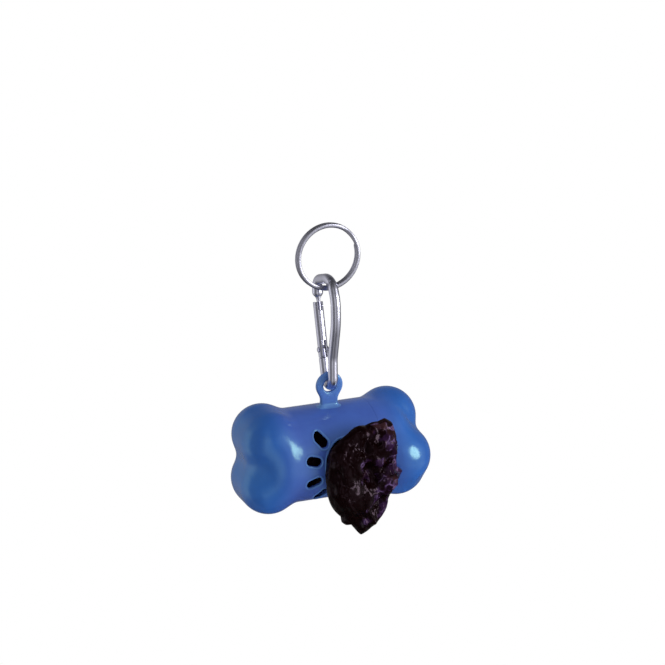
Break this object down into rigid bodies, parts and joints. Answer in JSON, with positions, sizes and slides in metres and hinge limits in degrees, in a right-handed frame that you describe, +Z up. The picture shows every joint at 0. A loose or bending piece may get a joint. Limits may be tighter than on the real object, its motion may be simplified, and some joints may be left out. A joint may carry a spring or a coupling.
{
  "type": "pet waste bag dispenser",
  "caption": "Bone-shaped translucent case for a roll of pet waste bags, with paw openings, a pull-off end cap and a bunched leading bag, hung by an eyelet from a snap hook on a split ring.",
  "frame": {"origin": "centre of the split ring, from which the whole dispenser hangs", "axes": "+X along the bone towards the pull-off end cap, -Y towards the paw openings, +Z up, against the pull of gravity as it hangs"},
  "size_m": [0.0796, 0.053, 0.1248],
  "materials": {
    "ring_steel": "polished nickel plate",
    "hook_steel": "polished nickel plate",
    "spring_steel": "plain spring steel",
    "blue_case": "glossy translucent blue",
    "bag_film": "thin dark film, wound",
    "core_board": "plain board",
    "bunched_film": "thin dark film, crumpled and shiny"
  },
  "bodies": {
    "ring": {"split_ring": "ring_steel"},
    "hook": {"carabiner_frame": "hook_steel", "gate_rivet": "hook_steel"},
    "gate": {"gate_sleeve": "hook_steel", "nose_pin": "hook_steel", "gate_spring": "spring_steel", "gate_plunger": "spring_steel"},
    "case": {"case_body": "blue_case"},
    "cap": {"end_cap": "blue_case"},
    "roll": {"bag_roll": "bag_film", "roll_core": "core_board"},
    "bag": {"leading_bag": "bunched_film"}
  },
  "joints": [
    {"name": "hook_swing", "type": "hinge", "parent": "ring", "child": "hook", "pos_m": [0, 0, -0.0128], "axis": [1, 0, 0], "range_deg": [-35, 35]},
    {"name": "gate_swing", "type": "hinge", "parent": "hook", "child": "gate", "pos_m": [0, 0.00581, -0.0399], "axis": [1, 0, 0], "range_deg": [0, 25], "stiffness_Nm_per_rad": 0.02, "springref_deg": -14.32},
    {"name": "case_sway", "type": "hinge", "parent": "hook", "child": "case", "pos_m": [0, -0.00013, -0.05324], "axis": [0, 0.9969, 0.0785], "range_deg": [-50, 50]},
    {"name": "cap_pull", "type": "slide", "parent": "case", "child": "cap", "axis": [1, 0, 0], "range_m": [0, 0.04]},
    {"name": "bag_pull", "type": "slide", "parent": "case", "child": "bag", "axis": [0, -0.9969, -0.0785], "range_m": [0, 0.03]},
    {"name": "roll_spin", "type": "hinge", "parent": "case", "child": "roll", "pos_m": [0, 0.00212, -0.08175], "axis": [1, 0, 0], "range_deg": [0, 130]}
  ],
  "couplings": [
    {"joint": "roll_spin", "follows": "bag_pull", "rad_per_m": 65.574}
  ]
}
